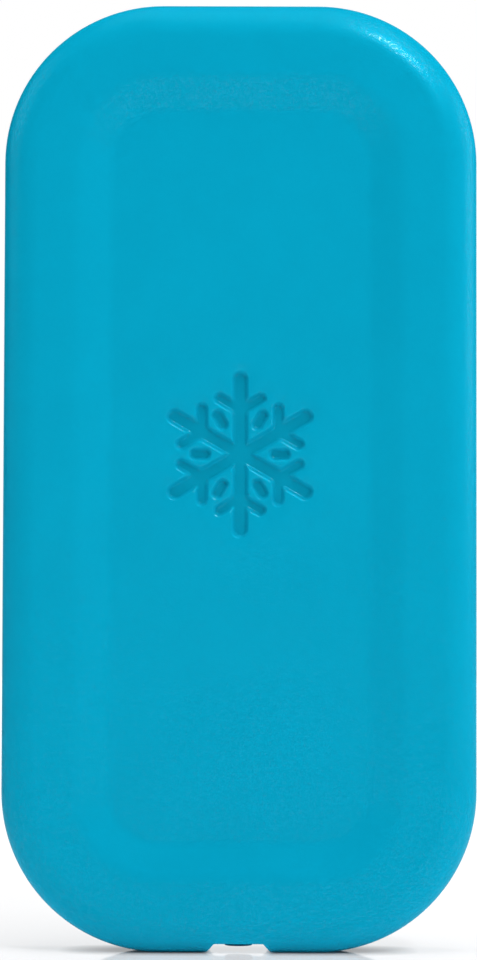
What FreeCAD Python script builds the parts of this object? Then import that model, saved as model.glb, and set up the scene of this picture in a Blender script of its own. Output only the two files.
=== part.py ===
import FreeCAD, Part
import math
import os

from FreeCAD import Vector

# Reusable ice pack, in millimetres.
# It stands on its narrow end: +Z is up, +X is to the right and the front looks along -Y.
# The origin is in the middle of the end that it stands on.
# The pack is a sealed, filled shell, blow moulded in one piece from two mould halves that meet at Y = 0.
# One section, from the parting line over the rolled edge and down into the panel, runs all the way round it.

# The whole pack
WIDTH = 125.0
HEIGHT = 250.0
THICKNESS = 25.0
CORNER_R = 42.0

# The rolled edge turns from the side wall to the face in two arcs, the tighter one at the side
ROLL_SIDE_TURN_DEG = 45.0
ROLL_SIDE_R = 5.4
ROLL_FACE_R = 11.0

# The panel sunk into each broad face
RIM_WIDTH = 10.2
SLOPE_WIDTH = 8.8
PANEL_DEPTH = 2.0
RIM_BLEND_R = 17.0
PANEL_BLEND_R = 12.0

# The fine ridge that the mould halves leave along the parting line
RIDGE_HEIGHT = 0.25
RIDGE_ROOT = 0.9
RIDGE_CREST = 0.4

# The notch across the end that the pack stands on
NOTCH_MOUTH = 17.0
NOTCH_HEIGHT = 2.45
NOTCH_FLANK_DEG = 50.0
NOTCH_EDGE_R = 0.4

# The plug that closes the filling hole, and the stepped socket that it is pressed into
PLUG_HEAD_D = 7.4
PLUG_HEAD_THICK = 1.7
PLUG_PROUD = 1.1
PLUG_EDGE_R = 0.3
PLUG_STEM_D = 5.0
PLUG_STEM_LENGTH = 6.0
PLUG_STEM_CHAMFER = 0.6
HEAD_GAP = 0.1
STEM_GAP = 0.05
STEM_END_GAP = 0.5

# The flake pressed into the front panel: bars through its middle, branches on them and dashes between them.
# Lengths run to the centre of a stroke's round end, and half widths are taken halfway down its sloping wall.
EMBLEM_HEIGHT = 130.6
EMBLEM_DEPTH = 1.3
EMBLEM_WALL = 1.2
ARM_LENGTH = 19.8
ARM_HALF = 1.8
BRANCH_START = 11.6
BRANCH_LENGTH = 6.2
BRANCH_ANGLE_DEG = 60.0
DASH_START = 9.2
DASH_LENGTH = 2.6
TWIG_HALF = 1.3

# A cutter runs this far past what it cuts
PAST = 1.0


def straight(start, end):
    """The line between two points, or nothing where two arcs meet with no line between them."""
    return [] if start.isEqual(end, 1e-6) else [Part.LineSegment(start, end).toShape()]


def rounded_path(corners):
    """Lines through corners (a, b, radius), each turn of a radius above zero rounded by a tangent arc.

    a is measured along X and b along Y. The two ends are never rounded.
    """
    points = [Vector(a, b, 0) for a, b, radius in corners]
    radii = [radius for a, b, radius in corners]
    edges = []
    start = points[0]
    for before, here, after, radius in zip(points, points[1:], points[2:], radii[1:]):
        if radius > 0:
            back = (before - here).normalize()
            ahead = (after - here).normalize()
            half_angle = back.getAngle(ahead) / 2
            reach = radius / math.tan(half_angle)
            centre = here + (back + ahead).normalize() * (radius / math.sin(half_angle))
            middle = centre + (here - centre).normalize() * radius
            arc_start = here + back * reach
            arc_end = here + ahead * reach
            edges += straight(start, arc_start)
            edges.append(Part.Arc(arc_start, middle, arc_end).toShape())
            start = arc_end
        else:
            edges += straight(start, here)
            start = here
    return edges + straight(start, points[-1])


def closed_face(edges):
    """The flat face inside a run of edges whose two open ends are joined by a straight line."""
    wire = Part.Wire(edges)
    first, last = wire.OrderedVertexes[0].Point, wire.OrderedVertexes[-1].Point
    closing = Part.LineSegment(last, first).toShape()
    return Part.Face(Part.Wire(edges + [closing]))


def edge_section():
    """The pack's section from the axis of its corners, at X = 0, out to the parting line.

    X runs outwards in the plane of the broad face and Y runs through the thickness.
    """
    half = THICKNESS / 2
    floor = half - PANEL_DEPTH
    side_turn = math.radians(ROLL_SIDE_TURN_DEG)
    side_reach = ROLL_SIDE_R * math.tan(side_turn / 2)
    face_reach = ROLL_FACE_R * math.tan(math.pi / 4 - side_turn / 2)
    chord_across = (side_reach + face_reach) * math.sin(side_turn)
    chord_deep = (side_reach + face_reach) * math.cos(side_turn)
    roll_width = face_reach + chord_across
    roll_depth = side_reach + chord_deep
    slope_top = CORNER_R - roll_width - RIM_WIDTH
    slope_foot = slope_top - SLOPE_WIDTH

    corners = [(0, floor, 0), (slope_foot, floor, PANEL_BLEND_R), (slope_top, half, RIM_BLEND_R),
               (CORNER_R - chord_across, half, ROLL_FACE_R), (CORNER_R, half - chord_deep, ROLL_SIDE_R),
               (CORNER_R, RIDGE_ROOT / 2, 0), (CORNER_R + RIDGE_HEIGHT, RIDGE_CREST / 2, 0)]
    mirrored = [(a, -b, radius) for a, b, radius in reversed(corners)]
    print("rolled edge: %.2f across the face, %.2f deep" % (roll_width, roll_depth))
    return closed_face(rounded_path(corners + mirrored))


def slab():
    """The pack with its panels and rolled edges: the section turned at each corner, drawn along each side."""
    section = edge_section()
    run_x = WIDTH - 2 * CORNER_R
    run_z = HEIGHT - 2 * CORNER_R
    x, low, high = run_x / 2, CORNER_R, HEIGHT - CORNER_R
    floor = THICKNESS / 2 - PANEL_DEPTH
    thickness_axis = Vector(0, 1, 0)
    places = [(x, low, run_z), (-x, low, run_x), (-x, high, run_z), (x, high, run_x)]

    pieces = []
    for quarter, (centre_x, centre_z, run) in enumerate(places):
        corner = section.revolve(Vector(0, 0, 0), thickness_axis, 90)
        side = section.extrude(Vector(0, 0, run))
        for piece in (corner, side):
            piece.rotate(Vector(0, 0, 0), thickness_axis, 90 * quarter)
            piece.translate(Vector(centre_x, 0, centre_z))
            pieces.append(piece)
    middle = Part.makeBox(run_x, 2 * floor, run_z, Vector(-x, -floor, low))
    return middle.multiFuse(pieces).removeSplitter()


def foot_trim():
    """Takes the parting ridge off flush with the end wall, so that the pack stands on a flat foot."""
    depth = RIDGE_HEIGHT + PAST
    return Part.makeBox(WIDTH, THICKNESS, depth, Vector(-WIDTH / 2, -THICKNESS / 2, -depth))


def notch():
    """The notch, open to the front and the back, with its edges broken by a small radius."""
    flank = math.radians(NOTCH_FLANK_DEG)
    mouth = NOTCH_MOUTH / 2
    edge_start = mouth + NOTCH_EDGE_R * math.tan(flank / 2)
    roof = mouth - NOTCH_HEIGHT / math.tan(flank)
    right = [(edge_start, -PAST, 0), (edge_start, 0, 0), (mouth, 0, NOTCH_EDGE_R),
             (roof, NOTCH_HEIGHT, NOTCH_EDGE_R)]
    left = [(-a, b, radius) for a, b, radius in reversed(right)]
    profile = closed_face(rounded_path(right + left))
    profile.rotate(Vector(0, 0, 0), Vector(1, 0, 0), 90)
    profile.translate(Vector(0, THICKNESS / 2 + PAST, 0))
    return profile.extrude(Vector(0, -THICKNESS - 2 * PAST, 0))


def turned(corners):
    """A solid turned about Z from a path of (radius, height, rounding) that starts and ends on the axis."""
    profile = closed_face(rounded_path(corners))
    profile.rotate(Vector(0, 0, 0), Vector(1, 0, 0), 90)
    return profile.revolve(Vector(0, 0, 0), Vector(0, 0, 1), 360)


def plug_heights():
    """Where the plug's outer face, the underside of its head and the end of its stem lie."""
    face = NOTCH_HEIGHT - PLUG_PROUD
    seat = face + PLUG_HEAD_THICK
    return face, seat, seat + PLUG_STEM_LENGTH


def socket():
    """The stepped hole for the plug: a counterbore in the roof of the notch and a blind bore above it."""
    seat, stem_end = plug_heights()[1:]
    head_r = PLUG_HEAD_D / 2 + HEAD_GAP
    stem_r = PLUG_STEM_D / 2 + STEM_GAP
    bore_end = stem_end + STEM_END_GAP
    return turned([(0, 0, 0), (head_r, 0, 0), (head_r, seat, 0), (stem_r, seat, 0),
                   (stem_r, bore_end, 0), (0, bore_end, 0)])


def stroke_outline(start, end, radius):
    """The closed outline that keeps one distance from the line between two points in a plane across Y."""
    along = (end - start).normalize() * radius
    across = along.cross(Vector(0, 1, 0))
    sides = [Part.LineSegment(start + across, end + across), Part.LineSegment(end - across, start - across)]
    tips = [Part.Arc(end + across, end + along, end - across),
            Part.Arc(start - across, start - along, start + across)]
    return Part.Wire([sides[0].toShape(), tips[0].toShape(), sides[1].toShape(), tips[1].toShape()])


def stroke(start, end, half_width):
    """A cutter for one stroke of the flake, round-ended, its walls sloping out from its floor past the panel."""
    panel = PANEL_DEPTH - THICKNESS / 2
    outlines = []
    for rise in (-EMBLEM_DEPTH, PAST):
        level = Vector(0, panel - rise, EMBLEM_HEIGHT)
        radius = half_width + EMBLEM_WALL * (0.5 + rise / EMBLEM_DEPTH)
        outlines.append(stroke_outline(start + level, end + level, radius))
    return Part.makeLoft(outlines, True, True)


def flake_point(radius, angle_deg):
    """A point this far from the flake's middle, turned this far from upright."""
    angle = math.radians(angle_deg)
    return Vector(radius * math.sin(angle), 0, radius * math.cos(angle))


def flake():
    """The cutters for the flake: three bars make six arms, each with two branches and a dash beside it."""
    cutters = []
    for arm_deg in range(0, 360, 60):
        tip = flake_point(ARM_LENGTH, arm_deg)
        if arm_deg < 180:
            cutters.append(stroke(-tip, tip, ARM_HALF))
        root = flake_point(BRANCH_START, arm_deg)
        for side in (-1, 1):
            reach = flake_point(BRANCH_LENGTH, arm_deg + side * BRANCH_ANGLE_DEG)
            cutters.append(stroke(root, root + reach, TWIG_HALF))
        dash_start = flake_point(DASH_START, arm_deg + 30)
        dash_end = flake_point(DASH_START + DASH_LENGTH, arm_deg + 30)
        cutters.append(stroke(dash_start, dash_end, TWIG_HALF))
    return cutters


def pack_body():
    """The sealed pack, shell and contents in one solid."""
    pack = slab().cut([foot_trim(), notch(), socket()])
    for cutter in flake():
        pack = pack.cut(cutter)
    (solid,) = pack.removeSplitter().Solids
    return solid


def fill_plug():
    """The plug: a flat round head with a rounded rim, and a stem with a chamfered end."""
    face, seat, stem_end = plug_heights()
    head_r = PLUG_HEAD_D / 2
    stem_r = PLUG_STEM_D / 2
    return turned([(0, face, 0), (head_r, face, PLUG_EDGE_R), (head_r, seat, 0), (stem_r, seat, 0),
                   (stem_r, stem_end - PLUG_STEM_CHAMFER, 0),
                   (stem_r - PLUG_STEM_CHAMFER, stem_end, 0), (0, stem_end, 0)])


def main():
    os.makedirs("parts", exist_ok=True)
    for name, solid in (("pack_body", pack_body()), ("fill_plug", fill_plug())):
        solid.exportStep("parts/" + name + ".step")
        box = solid.optimalBoundingBox(False, False)
        print("%s: valid %s, %d faces, %.2f cm3, %.2f x %.2f x %.2f mm, Z from %.2f"
              % (name, solid.isValid(), len(solid.Faces), solid.Volume / 1000,
                 box.XLength, box.YLength, box.ZLength, box.ZMin))


main()
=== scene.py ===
# %% [markdown]
# # A reusable ice pack
# The real pack is a flat bottle. Blue polyethylene is blown into a two-part mould, the shell is filled with
# a gel that freezes, and a small plug closes it for good. Nothing on it moves. So the whole job here is one
# quiet piece of plastic: true curves, a satin skin and light that shows both.
#
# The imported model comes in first. It holds the real sizes, and everything below is measured from it.

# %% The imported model
import math

import bmesh
import bpy
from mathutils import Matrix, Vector


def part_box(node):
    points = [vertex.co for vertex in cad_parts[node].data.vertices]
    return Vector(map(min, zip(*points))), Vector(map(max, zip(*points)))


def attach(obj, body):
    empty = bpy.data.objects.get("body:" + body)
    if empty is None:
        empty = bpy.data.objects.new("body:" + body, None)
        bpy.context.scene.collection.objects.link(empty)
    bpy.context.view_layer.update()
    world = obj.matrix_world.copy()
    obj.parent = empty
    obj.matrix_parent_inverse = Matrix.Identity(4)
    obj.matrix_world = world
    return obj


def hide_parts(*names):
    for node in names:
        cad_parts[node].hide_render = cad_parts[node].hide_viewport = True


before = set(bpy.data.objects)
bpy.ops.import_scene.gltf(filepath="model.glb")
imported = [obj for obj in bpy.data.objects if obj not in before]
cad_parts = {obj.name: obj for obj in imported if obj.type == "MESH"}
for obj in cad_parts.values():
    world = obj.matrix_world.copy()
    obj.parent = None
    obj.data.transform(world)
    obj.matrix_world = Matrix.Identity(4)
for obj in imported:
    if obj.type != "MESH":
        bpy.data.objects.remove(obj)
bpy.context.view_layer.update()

body_low, body_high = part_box("pack_body")
plug_low, plug_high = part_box("fill_plug")
print("pack_body from", tuple(body_low), "to", tuple(body_high))

# %% [markdown]
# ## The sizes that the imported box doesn't give
# The box gives the width, the height and the thickness. The curves between those limits are the moulder's
# choice, so they are written down once, in millimetres times MM, because Blender works in metres.

# %% Sizes
MM = 0.001

# The fine line where the two mould halves meet
RIDGE_HEIGHT = 0.25 * MM
RIDGE_ROOT = 0.9 * MM
RIDGE_CREST = 0.4 * MM

width = body_high.x - body_low.x - 2 * RIDGE_HEIGHT
height = body_high.z - body_low.z - RIDGE_HEIGHT
half_thickness = body_high.y

# The rolled edge, the rim inside it and the sunk panel
CORNER_R = 42.0 * MM
ROLL_SIDE_R = 5.4 * MM
ROLL_FACE_R = 11.0 * MM
RIM_WIDTH = 10.2 * MM
SLOPE_WIDTH = 8.8 * MM
PANEL_DEPTH = 2.0 * MM
RIM_BLEND_R = 17.0 * MM
PANEL_BLEND_R = 12.0 * MM

# The notch in the foot
NOTCH_MOUTH = 17.0 * MM
NOTCH_HEIGHT = 2.45 * MM
NOTCH_FLANK = math.radians(50)
NOTCH_EDGE_R = 0.4 * MM

# The plug, and the gaps between it and its socket
PLUG_HEAD_THICK = 1.7 * MM
PLUG_EDGE_R = 0.3 * MM
PLUG_STEM_R = 2.5 * MM
PLUG_STEM_CHAMFER = 0.6 * MM
HEAD_GAP = 0.1 * MM
STEM_GAP = 0.05 * MM
STEM_END_GAP = 0.5 * MM

print("pack: %.1f x %.1f x %.1f mm" % (width / MM, 2 * half_thickness / MM, height / MM))

# %% [markdown]
# ## Working by hand, in code
# Edit mode works on what is selected. With no hand to click, faces and edges are picked by a test on their
# place or their direction. These helpers stand for the clicks.

# %% Helpers for edit mode
# How far a place or a direction may be off and still be picked
HAIR = 0.01 * MM
ALONG = 0.99
ACROSS = 0.01


def select_only(piece):
    bpy.ops.object.select_all(action="DESELECT")
    piece.select_set(True)
    bpy.context.view_layer.objects.active = piece


def open_for_edit(piece, select_by):
    """Makes one piece the only selected one and opens it in edit mode with nothing picked."""
    select_only(piece)
    bpy.ops.object.mode_set(mode="EDIT")
    bpy.ops.mesh.select_mode(type=select_by)
    bpy.ops.mesh.select_all(action="DESELECT")


def close_edit():
    bpy.ops.object.mode_set(mode="OBJECT")


def pick(piece, kind, test):
    """Picks the verts, edges or faces that pass the test, and drops all others."""
    mesh = bmesh.from_edit_mesh(piece.data)
    bpy.ops.mesh.select_all(action="DESELECT")
    picked = [item for item in getattr(mesh, kind) if test(item)]
    for item in picked:
        item.select_set(True)
    mesh.select_flush_mode()
    bmesh.update_edit_mesh(piece.data)
    return len(picked)


def apply_modifier(piece, kind, **settings):
    """Adds a modifier with its settings and applies it at once."""
    select_only(piece)
    modifier = piece.modifiers.new(kind.lower(), kind)
    for name, value in settings.items():
        setattr(modifier, name, value)
    bpy.ops.object.modifier_apply(modifier=modifier.name)


# %% [markdown]
# ## The shell: a cube with four bevelled corners
# Seen from the front the pack is a rectangle with round corners, and its side wall is a straight band in the
# middle of the thickness. A cube of that band's depth, with its four long corners bevelled to the corner
# radius, is exactly that band. The rolled edges and the panels grow out of its two flat faces in the next
# step. A spun and swept section would make the same surface, but the faces would then have to be sewn at
# every corner.
#
# The roll has two arcs: a tight one next to the side wall and a wide one next to the face. They meet at 45
# degrees, so the tangents give how far each arc reaches, and those add up to the width and depth of the roll.

# %% The band of the side wall
SIDE_TURN = math.radians(45)
FACE_TURN = math.radians(90) - SIDE_TURN
CORNER_SEGMENTS = 32

side_reach = ROLL_SIDE_R * math.tan(SIDE_TURN / 2)
face_reach = ROLL_FACE_R * math.tan(FACE_TURN / 2)
roll_width = face_reach + (side_reach + face_reach) * math.sin(SIDE_TURN)
roll_depth = side_reach + (side_reach + face_reach) * math.cos(SIDE_TURN)
wall_half = half_thickness - roll_depth

bpy.ops.object.select_all(action="DESELECT")
bpy.ops.mesh.primitive_cube_add(size=1)
shell = bpy.context.active_object
shell.name = "moulded_shell"
open_for_edit(shell, "EDGE")
bpy.ops.mesh.select_all(action="SELECT")
bpy.ops.transform.resize(value=(width, 2 * wall_half, height))
bpy.ops.transform.translate(value=(0, 0, height / 2))
pick(shell, "edges", lambda edge: abs((edge.verts[0].co - edge.verts[1].co).y) > wall_half)
bpy.ops.mesh.bevel(offset=CORNER_R, offset_type="OFFSET", segments=CORNER_SEGMENTS, profile=0.5,
                   affect="EDGES")
close_edit()
print("side wall band: %.2f mm deep, %d faces" % (2 * wall_half / MM, len(shell.data.polygons)))

# %% [markdown]
# ## Rolled edges, rims and sunken panels by inset
# Every ring of the pack's face is the outline moved inwards by some amount and raised or sunk by another.
# That is what the inset operator does. So the section is worked out as a list of points, one for each ring,
# and each step from a point to the next is one inset of both faces. The arcs of the roll and the soft turns
# of the slope get several points each, and flat stretches get none between their ends.

# %% The section as points, then the insets
SIDE_STEPS = 6
FACE_STEPS = 10
BLEND_STEPS = 6


def section_points():
    """(inset from the side wall, height above the mid-plane) from the wall's edge to the panel."""
    slope_angle = math.atan(PANEL_DEPTH / SLOPE_WIDTH)
    slope_top = roll_width + RIM_WIDTH
    slope_foot = slope_top + SLOPE_WIDTH
    rim_start = slope_top - RIM_BLEND_R * math.tan(slope_angle / 2)
    panel_start = slope_foot + PANEL_BLEND_R * math.tan(slope_angle / 2)
    floor = half_thickness - PANEL_DEPTH

    points = []
    for step in range(SIDE_STEPS + 1):
        angle = SIDE_TURN * step / SIDE_STEPS
        points.append((ROLL_SIDE_R * (1 - math.cos(angle)), wall_half + ROLL_SIDE_R * math.sin(angle)))
    for step in range(1, FACE_STEPS + 1):
        angle = SIDE_TURN + FACE_TURN * step / FACE_STEPS
        points.append((roll_width - ROLL_FACE_R * math.cos(angle),
                       half_thickness - ROLL_FACE_R * (1 - math.sin(angle))))
    for step in range(BLEND_STEPS + 1):
        angle = slope_angle * step / BLEND_STEPS
        points.append((rim_start + RIM_BLEND_R * math.sin(angle),
                       half_thickness - RIM_BLEND_R * (1 - math.cos(angle))))
    for step in range(BLEND_STEPS + 1):
        angle = slope_angle * (BLEND_STEPS - step) / BLEND_STEPS
        points.append((panel_start - PANEL_BLEND_R * math.sin(angle),
                       floor + PANEL_BLEND_R * (1 - math.cos(angle))))
    return points


section = section_points()
open_for_edit(shell, "FACE")
pick(shell, "faces", lambda face: abs(face.normal.y) > ALONG)
for (inset, level), (next_inset, next_level) in zip(section, section[1:]):
    bpy.ops.mesh.inset(thickness=next_inset - inset, depth=next_level - level, use_even_offset=True)
close_edit()
print("%d rings on each face, %d faces in all" % (len(section) - 1, len(shell.data.polygons)))

# %% [markdown]
# ## The parting line
# The two mould halves meet in the middle of the side wall and leave a fine raised line there. Four cuts
# round the wall mark its root and its crest, and the crest is pushed out along its own normals. Across the
# end that the pack stands on the line is trimmed off, so there it is flattened into the foot again.

# %% The ridge along the parting line
open_for_edit(shell, "FACE")
for level in (-RIDGE_ROOT / 2, -RIDGE_CREST / 2, RIDGE_CREST / 2, RIDGE_ROOT / 2):
    pick(shell, "faces", lambda face: abs(face.normal.y) < ACROSS)
    bpy.ops.mesh.bisect(plane_co=(0, level, 0), plane_no=(0, 1, 0))
bpy.ops.mesh.select_mode(type="VERT")
pick(shell, "verts", lambda vert: abs(vert.co.y) < RIDGE_CREST / 2 + HAIR)
bpy.ops.transform.shrink_fatten(value=RIDGE_HEIGHT)
trimmed = pick(shell, "verts", lambda vert: vert.co.z < 0)
bpy.ops.transform.resize(value=(1, 1, 0), center_override=(0, 0, 0))
close_edit()
print("parting line trimmed at %d points under the foot" % trimmed)

# %% [markdown]
# ## The notch and the plug's seat
# In the middle of the foot a notch with slanted flanks keeps the filling plug off the table. It is cut with
# a boolean, because one tool body then makes the flanks, the roof and the small edge radii at once. The
# plug's stepped socket is cut the same way, so the fine gap round the plug is real.

# %% Cutting tools
BELOW_FOOT = 5 * MM
NOTCH_EDGE_STEPS = 5
PIN_SIDES = 64


def bar_through(name, outline):
    """A bar along Y with the given outline of (x, z) points, long enough to pass through the pack."""
    bpy.ops.object.select_all(action="DESELECT")
    bpy.ops.mesh.primitive_circle_add(vertices=len(outline), fill_type="NGON")
    bar = bpy.context.active_object
    bar.name = name
    for vert, (x, z) in zip(bar.data.vertices, outline):
        vert.co = (x, -2 * half_thickness, z)
    open_for_edit(bar, "FACE")
    bpy.ops.mesh.select_all(action="SELECT")
    bpy.ops.mesh.extrude_region_move(TRANSFORM_OT_translate={"value": (0, 4 * half_thickness, 0)})
    bpy.ops.mesh.select_all(action="SELECT")
    bpy.ops.mesh.normals_make_consistent(inside=False)
    close_edit()
    return bar


def arc_points(centre, radius, start, end, steps):
    """Points on an arc in the (x, z) plane, angles in radians from +X towards +Z."""
    angles = [start + (end - start) * step / steps for step in range(steps + 1)]
    return [(centre[0] + radius * math.cos(a), centre[1] + radius * math.sin(a)) for a in angles]


def notch_outline():
    """Half of the notch with its two rounded edges, and the same again mirrored."""
    reach = NOTCH_EDGE_R * math.tan(NOTCH_FLANK / 2)
    mouth = NOTCH_MOUTH / 2
    roof = mouth - NOTCH_HEIGHT / math.tan(NOTCH_FLANK)
    lower = arc_points((mouth + reach, NOTCH_EDGE_R), NOTCH_EDGE_R, math.radians(-90),
                       math.radians(-90) - NOTCH_FLANK, NOTCH_EDGE_STEPS)
    upper = arc_points((roof - reach, NOTCH_HEIGHT - NOTCH_EDGE_R), NOTCH_EDGE_R,
                       math.radians(90) - NOTCH_FLANK, math.radians(90), NOTCH_EDGE_STEPS)
    right = [(mouth + reach, -BELOW_FOOT)] + lower + upper
    return right + [(-x, z) for x, z in reversed(right)]


def stepped_pin(name, low, head_radius, seat, stem_radius, end):
    """A round head from low up to seat, with a thinner round stem on it that ends at end."""
    bpy.ops.object.select_all(action="DESELECT")
    bpy.ops.mesh.primitive_cylinder_add(vertices=PIN_SIDES, radius=1, depth=1)
    pin = bpy.context.active_object
    pin.name = name
    open_for_edit(pin, "FACE")
    bpy.ops.mesh.select_all(action="SELECT")
    bpy.ops.transform.resize(value=(head_radius, head_radius, seat - low))
    bpy.ops.transform.translate(value=(0, 0, (seat + low) / 2))
    pick(pin, "faces", lambda face: face.normal.z > ALONG)
    bpy.ops.mesh.inset(thickness=head_radius - stem_radius)
    bpy.ops.mesh.extrude_region_move(TRANSFORM_OT_translate={"value": (0, 0, end - seat)})
    close_edit()
    return pin


def cut_away(piece, tool):
    apply_modifier(piece, "BOOLEAN", operation="DIFFERENCE", solver="EXACT", object=tool)
    bpy.data.objects.remove(tool)


# %% The notch and the socket
plug_radius = (plug_high.x - plug_low.x) / 2
plug_seat = plug_low.z + PLUG_HEAD_THICK
cut_away(shell, bar_through("notch_tool", notch_outline()))
cut_away(shell, stepped_pin("socket_tool", plug_low.z / 2, plug_radius + HEAD_GAP, plug_seat,
                            PLUG_STEM_R + STEM_GAP, plug_high.z + STEM_END_GAP))
print("notch and socket cut, %d faces" % len(shell.data.polygons))

# %% [markdown]
# ## A patch fine enough to be pressed
# The middle of the front panel carries a pressed emblem. The panel is one large flat face so far. Four cuts
# mark out a square patch in it, and two rounds of subdivision turn the square into a grid with cells of
# about a quarter of a millimetre. Only this patch is dense, and the rest of the shell stays light.

# %% The patch
EMBLEM_RISE = 5.6 * MM
EMBLEM_CENTRE = Vector((0, 0, height / 2 + EMBLEM_RISE))
PATCH_HALF = 25.0 * MM
PATCH_CUTS = (12, 15)
LEVEL = 0.999
PANEL_TOLERANCE = 0.05 * MM


def on_front_panel(face, half_x, half_z):
    """True for a face of the front panel whose middle lies this near to the emblem's centre."""
    middle = face.calc_center_median() - EMBLEM_CENTRE
    above_panel = abs(middle.y + half_thickness - PANEL_DEPTH)
    flat = face.normal.y < -LEVEL and above_panel < PANEL_TOLERANCE
    return flat and abs(middle.x) < half_x and abs(middle.z) < half_z


open_for_edit(shell, "FACE")
for side in (-1, 1):
    pick(shell, "faces", lambda face: on_front_panel(face, width, height))
    bpy.ops.mesh.bisect(plane_co=(side * PATCH_HALF, 0, 0), plane_no=(1, 0, 0))
for side in (-1, 1):
    pick(shell, "faces", lambda face: on_front_panel(face, PATCH_HALF, height))
    bpy.ops.mesh.bisect(plane_co=(0, 0, EMBLEM_CENTRE.z + side * PATCH_HALF), plane_no=(0, 0, 1))
for cuts in PATCH_CUTS:
    pick(shell, "faces", lambda face: on_front_panel(face, PATCH_HALF, PATCH_HALF))
    bpy.ops.mesh.subdivide(number_cuts=cuts)
close_edit()
print("patch made, %d faces in all" % len(shell.data.polygons))

# %% [markdown]
# ## Pressing a snowflake
# The emblem is a plain six-armed snowflake, sunk into the panel like every mark that a mould leaves. It is
# the same flake as in the imported model, stroke for stroke. All its strokes have round ends, soft shoulders
# and filleted joints, because the tool that makes them is milled with a round cutter. Six equal arms are one
# arm seen in a mirror: a point's angle is folded into a wedge of 30 degrees, and then only three strokes
# have to be measured. The depth goes into a vertex group, and a Displace modifier presses the patch by it,
# as a brush with a mask would. The same numbers stay on the mesh as an attribute, which paints shade into
# the colour of the flake's floors: the deeper the press, the darker the painted shade.

# %% The snowflake's depth as a vertex group
ARM_LENGTH = 19.8 * MM
ARM_HALF = 1.8 * MM
BRANCH_START = 11.6 * MM
BRANCH_LENGTH = 6.2 * MM
BRANCH_ANGLE = math.radians(60)
DASH_START = 9.2 * MM
DASH_LENGTH = 2.6 * MM
TWIG_HALF = 1.3 * MM
PRESS_DEPTH = 1.3 * MM
WALL_WIDTH = 1.2 * MM
JOINT_FILLET = 1.0 * MM
DISH_SHARE = 0.14
DISH_REACH = 2.2 * MM
PATCH_FADE = 2.0 * MM
LEAST_SHARE = 0.001


def stroke_distance(a, b, start, end, half_width):
    """Distance from point (a, b) to the edge of a round-ended stroke."""
    along_a, along_b = end[0] - start[0], end[1] - start[1]
    share = ((a - start[0]) * along_a + (b - start[1]) * along_b) / (along_a ** 2 + along_b ** 2)
    share = min(max(share, 0), 1)
    return math.hypot(a - start[0] - share * along_a, b - start[1] - share * along_b) - half_width


def blended(first, second):
    """The smaller of two distances, with a fillet where they are nearly equal."""
    overlap = max(JOINT_FILLET - abs(first - second), 0)
    return min(first, second) - overlap ** 2 / (4 * JOINT_FILLET)


def flake_distance(x, z):
    """Distance from a point of the panel to the edge of the flake, negative inside it."""
    sixth = math.radians(60)
    angle = math.atan2(x, z) % sixth
    angle = min(angle, sixth - angle)
    radius = math.hypot(x, z)
    a, b = radius * math.cos(angle), radius * math.sin(angle)
    arm = stroke_distance(a, b, (0, 0), (ARM_LENGTH, 0), ARM_HALF)
    tip = (BRANCH_START + BRANCH_LENGTH * math.cos(BRANCH_ANGLE), BRANCH_LENGTH * math.sin(BRANCH_ANGLE))
    branch = stroke_distance(a, b, (BRANCH_START, 0), tip, TWIG_HALF)
    dash_ends = [(reach * math.cos(sixth / 2), reach * math.sin(sixth / 2))
                 for reach in (DASH_START, DASH_START + DASH_LENGTH)]
    dash = stroke_distance(a, b, *dash_ends, TWIG_HALF)
    return min(blended(arm, branch), dash)


def press_share(distance):
    """1 on the emblem's floor, 0 far out on the panel, with a soft wall and a faint dish round it."""
    wall = min(max(0.5 - distance / WALL_WIDTH, 0), 1)
    wall = wall * wall * (3 - 2 * wall)
    dish = math.exp(-(max(distance, 0) / DISH_REACH) ** 2)
    return (1 - DISH_SHARE) * wall + DISH_SHARE * dish


shares = [0.0] * len(shell.data.vertices)
for vert in shell.data.vertices:
    place = vert.co - EMBLEM_CENTRE
    inside = PATCH_HALF - max(abs(place.x), abs(place.z))
    if inside > 0 and place.y < 0:
        shares[vert.index] = press_share(flake_distance(place.x, place.z)) * min(inside / PATCH_FADE, 1)
pressed = shell.vertex_groups.new(name="pressed")
for index, share in enumerate(shares):
    if share > LEAST_SHARE:
        pressed.add([index], share, "REPLACE")
apply_modifier(shell, "DISPLACE", direction="Y", vertex_group="pressed", mid_level=0, strength=PRESS_DEPTH)
shell.vertex_groups.clear()
# The press shares are also kept as an attribute that paints shade into the flake's floors.
shell.data.attributes.new("painted_recess_shade", "FLOAT", "POINT").data.foreach_set("value", shares)
print("snowflake pressed %.2f mm deep, %.0f mm across" % (PRESS_DEPTH / MM, 2 * ARM_LENGTH / MM))

# %% [markdown]
# ## Smooth shading that keeps flat faces flat
# Smooth shading blends the normals of neighbouring faces, and a big flat face next to a narrow curved ring
# would look bulged. Weighted normals let the larger face win, so the rim and the panel stay flat and the
# narrow rings between them carry all of the curve. True edges, such as those of the notch, stay sharp.

# %% Shading of the shell
def smooth(piece, sharp_from_deg):
    select_only(piece)
    bpy.ops.object.shade_smooth_by_angle(angle=math.radians(sharp_from_deg))
    apply_modifier(piece, "WEIGHTED_NORMAL", mode="FACE_AREA", weight=100, keep_sharp=True)


smooth(shell, sharp_from_deg=28)
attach(shell, "root")
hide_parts("pack_body")
print("%s: %d faces" % (shell.name, len(shell.data.polygons)))

# %% [markdown]
# ## The filling plug
# A round plug closes the hole through which the gel went in. Only its head shows, low in the notch. It is
# made by the same steps as the tool that cut its socket, a little smaller. Then its outer rim is rounded by
# a bevel, and the end of its stem gets the chamfer that leads it into the bore.

# %% The plug's head and stem
RIM_SEGMENTS = 5

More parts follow.
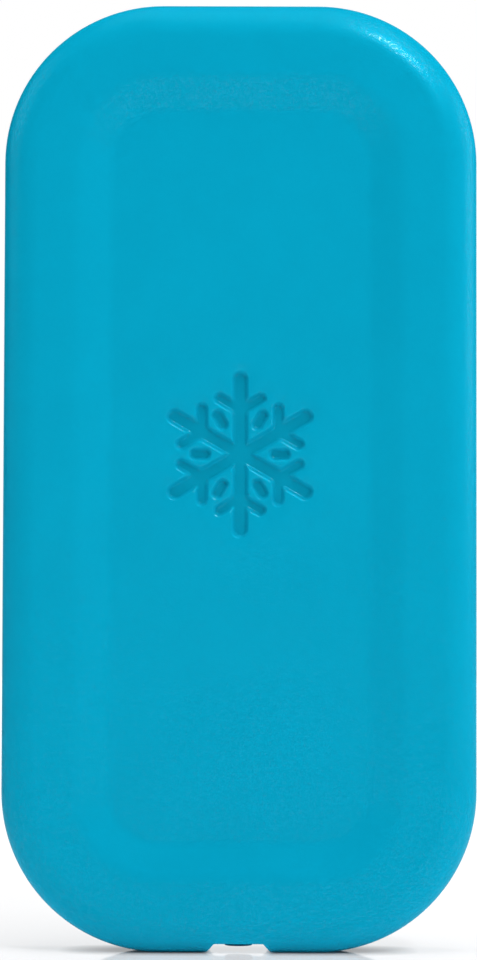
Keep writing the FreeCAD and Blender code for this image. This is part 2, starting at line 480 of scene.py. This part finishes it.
plug = stepped_pin("sealing_plug", plug_low.z, plug_radius, plug_seat, PLUG_STEM_R, plug_high.z)
open_for_edit(plug, "EDGE")
rim_edges = pick(plug, "edges", lambda edge: max(vert.co.z for vert in edge.verts) < plug_low.z + HAIR)
bpy.ops.mesh.bevel(offset=PLUG_EDGE_R, segments=RIM_SEGMENTS, affect="EDGES")
pick(plug, "edges", lambda edge: min(vert.co.z for vert in edge.verts) > plug_high.z - HAIR)
bpy.ops.mesh.bevel(offset=PLUG_STEM_CHAMFER, segments=1, affect="EDGES")
close_edit()
smooth(plug, sharp_from_deg=35)
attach(plug, "root")
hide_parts("fill_plug")
print("plug: %.1f mm across, rim of %d edges rounded" % (2 * plug_radius / MM, rim_edges))

# %% [markdown]
# ## Moulded grain, as a node group
# The mould for such a pack is blasted with grit, so the skin has a grain of a little over half a millimetre
# that only shows where light grazes or glints. The plug has the same grain, only finer. So it is a node
# group: it takes the size of the grain and gives its height and a slow mottle, and each material decides
# how much of both it uses.

# %% The grain group
GRAIN_DETAIL = 2
GRAIN_ROUGHNESS = 0.6
MOTTLE_SCALE = 45
MOTTLE_DETAIL = 3


def grain_group():
    group = bpy.data.node_groups.new("moulded_grain", "ShaderNodeTree")
    group.interface.new_socket(name="Grain Size", in_out="INPUT", socket_type="NodeSocketFloat")
    group.interface.new_socket(name="Height", in_out="OUTPUT", socket_type="NodeSocketFloat")
    group.interface.new_socket(name="Mottle", in_out="OUTPUT", socket_type="NodeSocketFloat")
    nodes, links = group.nodes, group.links
    given = nodes.new("NodeGroupInput")
    result = nodes.new("NodeGroupOutput")
    place = nodes.new("ShaderNodeTexCoord")
    density = nodes.new("ShaderNodeMath")
    density.operation = "DIVIDE"
    density.inputs[0].default_value = 1
    links.new(given.outputs["Grain Size"], density.inputs[1])
    grain = nodes.new("ShaderNodeTexNoise")
    grain.inputs["Detail"].default_value = GRAIN_DETAIL
    grain.inputs["Roughness"].default_value = GRAIN_ROUGHNESS
    links.new(place.outputs["Object"], grain.inputs["Vector"])
    links.new(density.outputs[0], grain.inputs["Scale"])
    mottle = nodes.new("ShaderNodeTexNoise")
    mottle.inputs["Scale"].default_value = MOTTLE_SCALE
    mottle.inputs["Detail"].default_value = MOTTLE_DETAIL
    links.new(place.outputs["Object"], mottle.inputs["Vector"])
    links.new(grain.outputs["Fac"], result.inputs["Height"])
    links.new(mottle.outputs["Fac"], result.inputs["Mottle"])
    return group


grain = grain_group()
print("node group made:", grain.name)

# %% [markdown]
# ## Satin polyethylene
# The plastic is dyed through and slightly waxy. Its colour is a cyan so strong that hardly any red comes
# back from it, and even its wide highlights stay cyan. Three things do that: a low IOR leaves little plain
# gloss, a tint colours what is left, and a small metallic share puts the dye's own colour into the
# reflections. A roughness of about a third spreads each highlight into a soft band, and a faint sheen is the
# waxy bloom at grazing angles.
#
# The crests of the grain are rubbed smooth by handling, and only they give white sparks. So the coat layer
# is masked by the grain's height: it lies on the crests and is missing in the hollows between them. A painted
# shade darkens the floors of the flake a little, where less light gets in.

# %% The two plastics
PLASTIC_IOR = 1.15
DYED_GLOSS = 0.1
BLOOM_ROUGHNESS = 0.6
GLOSS_SPREAD = 0.05
# How dark the painted shade makes the flake's floors
PAINTED_RECESS_SHADE = 0.16
SPARK_FROM = 0.47
SPARK_TO = 0.64
SPARK_ROUGHNESS = 0.16
SPARK_BUMP = 3


def grain_bump(nodes, links, skin, distance):
    """The normal of a skin whose grain has this depth."""
    bump = nodes.new("ShaderNodeBump")
    bump.inputs["Strength"].default_value = 1
    bump.inputs["Distance"].default_value = distance
    links.new(skin.outputs["Height"], bump.inputs["Height"])
    return bump.outputs["Normal"]


def satin_plastic(name, light, dark, roughness, grain_size, grain_depth, tint, glint, bloom):
    material = bpy.data.materials.new(name)
    material.use_nodes = True
    nodes, links = material.node_tree.nodes, material.node_tree.links
    surface = nodes["Principled BSDF"]
    surface.inputs["IOR"].default_value = PLASTIC_IOR
    surface.inputs["Metallic"].default_value = DYED_GLOSS
    surface.inputs["Specular Tint"].default_value = tint
    surface.inputs["Sheen Weight"].default_value = bloom
    surface.inputs["Sheen Roughness"].default_value = BLOOM_ROUGHNESS
    surface.inputs["Sheen Tint"].default_value = light
    surface.inputs["Coat Roughness"].default_value = SPARK_ROUGHNESS
    skin = nodes.new("ShaderNodeGroup")
    skin.node_tree = grain
    skin.inputs["Grain Size"].default_value = grain_size

    colour = nodes.new("ShaderNodeMix")
    colour.data_type = "RGBA"
    colour.inputs["A"].default_value = dark
    colour.inputs["B"].default_value = light
    links.new(skin.outputs["Mottle"], colour.inputs["Factor"])
    # Painted shade: the flake's floors are darkened by their press share, where less light gets in.
    painted_shade_in = nodes.new("ShaderNodeAttribute")
    painted_shade_in.attribute_name = "painted_recess_shade"
    shade = nodes.new("ShaderNodeMath")
    shade.operation = "MULTIPLY"
    shade.inputs[1].default_value = PAINTED_RECESS_SHADE
    links.new(painted_shade_in.outputs["Fac"], shade.inputs[0])
    with_painted_shade = nodes.new("ShaderNodeMix")
    with_painted_shade.data_type = "RGBA"
    with_painted_shade.inputs["B"].default_value = (0, 0, 0, 1)
    links.new(shade.outputs[0], with_painted_shade.inputs["Factor"])
    links.new(colour.outputs["Result"], with_painted_shade.inputs["A"])
    links.new(with_painted_shade.outputs["Result"], surface.inputs["Base Color"])

    gloss = nodes.new("ShaderNodeMapRange")
    gloss.inputs["To Min"].default_value = roughness - GLOSS_SPREAD
    gloss.inputs["To Max"].default_value = roughness + GLOSS_SPREAD
    links.new(skin.outputs["Mottle"], gloss.inputs["Value"])
    links.new(gloss.outputs["Result"], surface.inputs["Roughness"])
    sparks = nodes.new("ShaderNodeMapRange")
    sparks.inputs["From Min"].default_value = SPARK_FROM
    sparks.inputs["From Max"].default_value = SPARK_TO
    sparks.inputs["To Max"].default_value = glint
    links.new(skin.outputs["Height"], sparks.inputs["Value"])
    links.new(sparks.outputs["Result"], surface.inputs["Coat Weight"])
    links.new(grain_bump(nodes, links, skin, grain_depth), surface.inputs["Normal"])
    links.new(grain_bump(nodes, links, skin, SPARK_BUMP * grain_depth), surface.inputs["Coat Normal"])
    return material


shell.data.materials.clear()
shell.data.materials.append(satin_plastic(
    "shell_plastic", light=(0.001, 0.279, 0.427, 1), dark=(0.001, 0.255, 0.394, 1), roughness=0.36,
    grain_size=0.65 * MM, grain_depth=0.025 * MM, tint=(0.02, 1, 0.64, 1), glint=0.34, bloom=0.3))
plug.data.materials.clear()
plug.data.materials.append(satin_plastic(
    "plug_plastic", light=(0.003, 0.065, 0.13, 1), dark=(0.003, 0.055, 0.11, 1), roughness=0.4,
    grain_size=0.4 * MM, grain_depth=0.01 * MM, tint=(0.1, 1, 0.9, 1), glint=0.05, bloom=0.0))
print("materials:", [material.name for material in bpy.data.materials])

# %% [markdown]
# ## The table
# The pack stands on a white, glossy table that is lit from below, as product tables are, and mirrors it
# faintly at this low angle. The glow lifts the lower half of the pack, and in the picture the table is near
# white. In the pack's own reflections the table is dimmer, because its front part lies in the shade of the
# camera. Close to the pack the glow is dimmed by ambient occlusion, which draws the thin dark line under the
# feet. The strip in front of the notch is left out of that, because light comes through the notch from
# behind.

# %% The table
TABLE_SIZE = 12
TABLE_GLOW = 0.48
TABLE_LIFT = -0.12
TABLE_IN_GLOSS = 0.45
TABLE_WHITE = (0.8, 0.8, 0.82, 1)
TABLE_SEEN = (0.3, 0.3, 0.31, 1)
TABLE_ROUGHNESS = 0.06
TABLE_IOR = 1.06
CONTACT_REACH = 8 * MM
NOTCH_SOFT = 1.5 * MM


def math_node(nodes, links, operation, *values):
    """A Math node on the given values, each a socket or a plain number."""
    node = nodes.new("ShaderNodeMath")
    node.operation = operation
    for socket, value in zip(node.inputs, values):
        if isinstance(value, (int, float)):
            socket.default_value = value
        else:
            links.new(value, socket)
    return node.outputs[0]


def floor_material():
    material = bpy.data.materials.new("glossy_floor")
    material.use_nodes = True
    nodes, links = material.node_tree.nodes, material.node_tree.links
    surface = nodes["Principled BSDF"]
    surface.inputs["Roughness"].default_value = TABLE_ROUGHNESS
    surface.inputs["IOR"].default_value = TABLE_IOR
    surface.inputs["Emission Color"].default_value = (1, 1, 1, 1)
    rays = nodes.new("ShaderNodeLightPath")
    by_camera, in_gloss = rays.outputs["Is Camera Ray"], rays.outputs["Is Glossy Ray"]

    tone = nodes.new("ShaderNodeMix")
    tone.data_type = "RGBA"
    tone.inputs["A"].default_value = TABLE_WHITE
    tone.inputs["B"].default_value = TABLE_SEEN
    links.new(math_node(nodes, links, "MAXIMUM", by_camera, in_gloss), tone.inputs["Factor"])
    links.new(tone.outputs["Result"], surface.inputs["Base Color"])

    place = nodes.new("ShaderNodeSeparateXYZ")
    links.new(nodes.new("ShaderNodeTexCoord").outputs["Object"], place.inputs[0])
    in_notch = nodes.new("ShaderNodeMapRange")
    in_notch.interpolation_type = "SMOOTHSTEP"
    in_notch.inputs["From Min"].default_value = NOTCH_MOUTH / 2 + NOTCH_SOFT
    in_notch.inputs["From Max"].default_value = NOTCH_MOUTH / 2 - NOTCH_SOFT
    links.new(math_node(nodes, links, "ABSOLUTE", place.outputs["X"]), in_notch.inputs["Value"])
    contact = nodes.new("ShaderNodeAmbientOcclusion")
    contact.inputs["Distance"].default_value = CONTACT_REACH
    openness = math_node(nodes, links, "MAXIMUM", in_notch.outputs[0], contact.outputs["AO"])

    veil = nodes.new("ShaderNodeMapRange")
    veil.inputs["To Min"].default_value = 1
    veil.inputs["To Max"].default_value = TABLE_IN_GLOSS
    links.new(in_gloss, veil.inputs["Value"])
    lift = math_node(nodes, links, "MULTIPLY_ADD", by_camera, TABLE_LIFT, TABLE_GLOW)
    shaded = math_node(nodes, links, "MULTIPLY", openness, lift)
    strength = math_node(nodes, links, "MULTIPLY", shaded, veil.outputs["Result"])
    links.new(strength, surface.inputs["Emission Strength"])
    return material


bpy.ops.object.select_all(action="DESELECT")
bpy.ops.mesh.primitive_plane_add(size=TABLE_SIZE, location=(0, 0, 0))
floor = bpy.context.active_object
floor.name = "floor"
floor.data.materials.append(floor_material())
print("table: %.0f m square" % TABLE_SIZE)

# %% [markdown]
# ## The background
# The background is plain white to the camera. To the pack the room is black but for one white card straight
# behind it, which the table mirrors. So the plastic keeps its deep colour, and the table shows no dark band.

# %% The white room
CARD_HALF_ANGLE = math.radians(10.5)

world = bpy.data.worlds.new("white_room")
bpy.context.scene.world = world
world.use_nodes = True
nodes, links = world.node_tree.nodes, world.node_tree.links
rays = nodes.new("ShaderNodeLightPath")
direction = nodes.new("ShaderNodeSeparateXYZ")
links.new(nodes.new("ShaderNodeTexCoord").outputs["Generated"], direction.inputs[0])
card = math_node(nodes, links, "GREATER_THAN", direction.outputs["Y"], math.cos(CARD_HALF_ANGLE))
mirrored_card = math_node(nodes, links, "MULTIPLY", card, rays.outputs["Is Glossy Ray"])
white = math_node(nodes, links, "MAXIMUM", mirrored_card, rays.outputs["Is Camera Ray"])
background = nodes["Background"]
background.inputs["Color"].default_value = (1, 1, 1, 1)
links.new(white, background.inputs["Strength"])
print("world ready:", world.name)

# %% [markdown]
# ## Light
# The brightest spot in the photo is a narrow, sparkling streak on the roll of the upper right corner. A
# small softbox at the upper right gives it, placed where that part of the roll mirrors it into the lens. A
# wide one behind it spreads the streak out along the corner, and one overhead lights the roll of the top.
# The left and the low right ones are weak: they keep the sides of the pack from going dark. The one behind
# lights the back of the pack. The overhead and the rear one have no reflection, so they put no pale rim on
# the pack and the top keeps the deep cyan of the dye, as in the photo.

# %% Lamps
def softbox(name, azimuth, elevation, distance, size, power):
    """A softbox that looks at the pack's middle, turned from the front to the right and upwards."""
    across, up = math.radians(azimuth), math.radians(elevation)
    aim = Vector((math.sin(across) * math.cos(up), -math.cos(across) * math.cos(up), math.sin(up)))
    lamp = bpy.data.lights.new(name, "AREA")
    lamp.shape = "RECTANGLE"
    lamp.size, lamp.size_y = size
    lamp.energy = power
    holder = bpy.data.objects.new(name, lamp)
    bpy.context.scene.collection.objects.link(holder)
    holder.location = Vector((0, 0, height / 2)) + distance * aim
    holder.rotation_euler = aim.to_track_quat("Z", "Y").to_euler()
    return holder


softbox("key", azimuth=31, elevation=42, distance=2.4, size=(0.23, 0.42), power=31)
softbox("wide_right", azimuth=50, elevation=54, distance=2.4, size=(1.6, 1.5), power=16)
overhead = softbox("overhead", azimuth=0, elevation=84, distance=2.4, size=(1.5, 1.8), power=60)
softbox("left_fill", azimuth=-80, elevation=28, distance=2.4, size=(1.5, 1.6), power=10.5)
softbox("low_right", azimuth=90, elevation=19, distance=0.7, size=(0.4, 0.4), power=1.3)
back_fill = softbox("back_fill", azimuth=170, elevation=36, distance=2.4, size=(1.8, 1.6), power=22)
for lamp in (overhead, back_fill):
    lamp.visible_glossy = False

# %% [markdown]
# ## Camera
# The picture shows the pack square from the front, a little wider at the foot than at the top. So the camera
# stands low, near enough for that, and looks up by less than three degrees. The focal length is given in
# pixels of the picture, and the lens follows from it.

# %% The camera
DISTANCE = 0.9
CAMERA_HEIGHT = 0.0825
ASIDE = -0.00024
LOOK_UP = math.radians(2.658)
LEAN = math.radians(0.178)
IMAGE_HEIGHT = 960
FOCAL_PIXELS = 3390
SENSOR_HEIGHT = 24

camera_data = bpy.data.cameras.new("camera")
camera_data.sensor_fit = "VERTICAL"
camera_data.sensor_height = SENSOR_HEIGHT
camera_data.lens = SENSOR_HEIGHT * FOCAL_PIXELS / IMAGE_HEIGHT
camera = bpy.data.objects.new("camera", camera_data)
bpy.context.scene.collection.objects.link(camera)
camera.location = (ASIDE, -DISTANCE, CAMERA_HEIGHT)
camera.rotation_euler = (math.radians(90) + LOOK_UP, -LEAN, 0)
bpy.context.scene.camera = camera
bpy.context.scene.view_settings.view_transform = "Standard"
print("camera %.1f mm above the table" % (camera.location.z / MM))
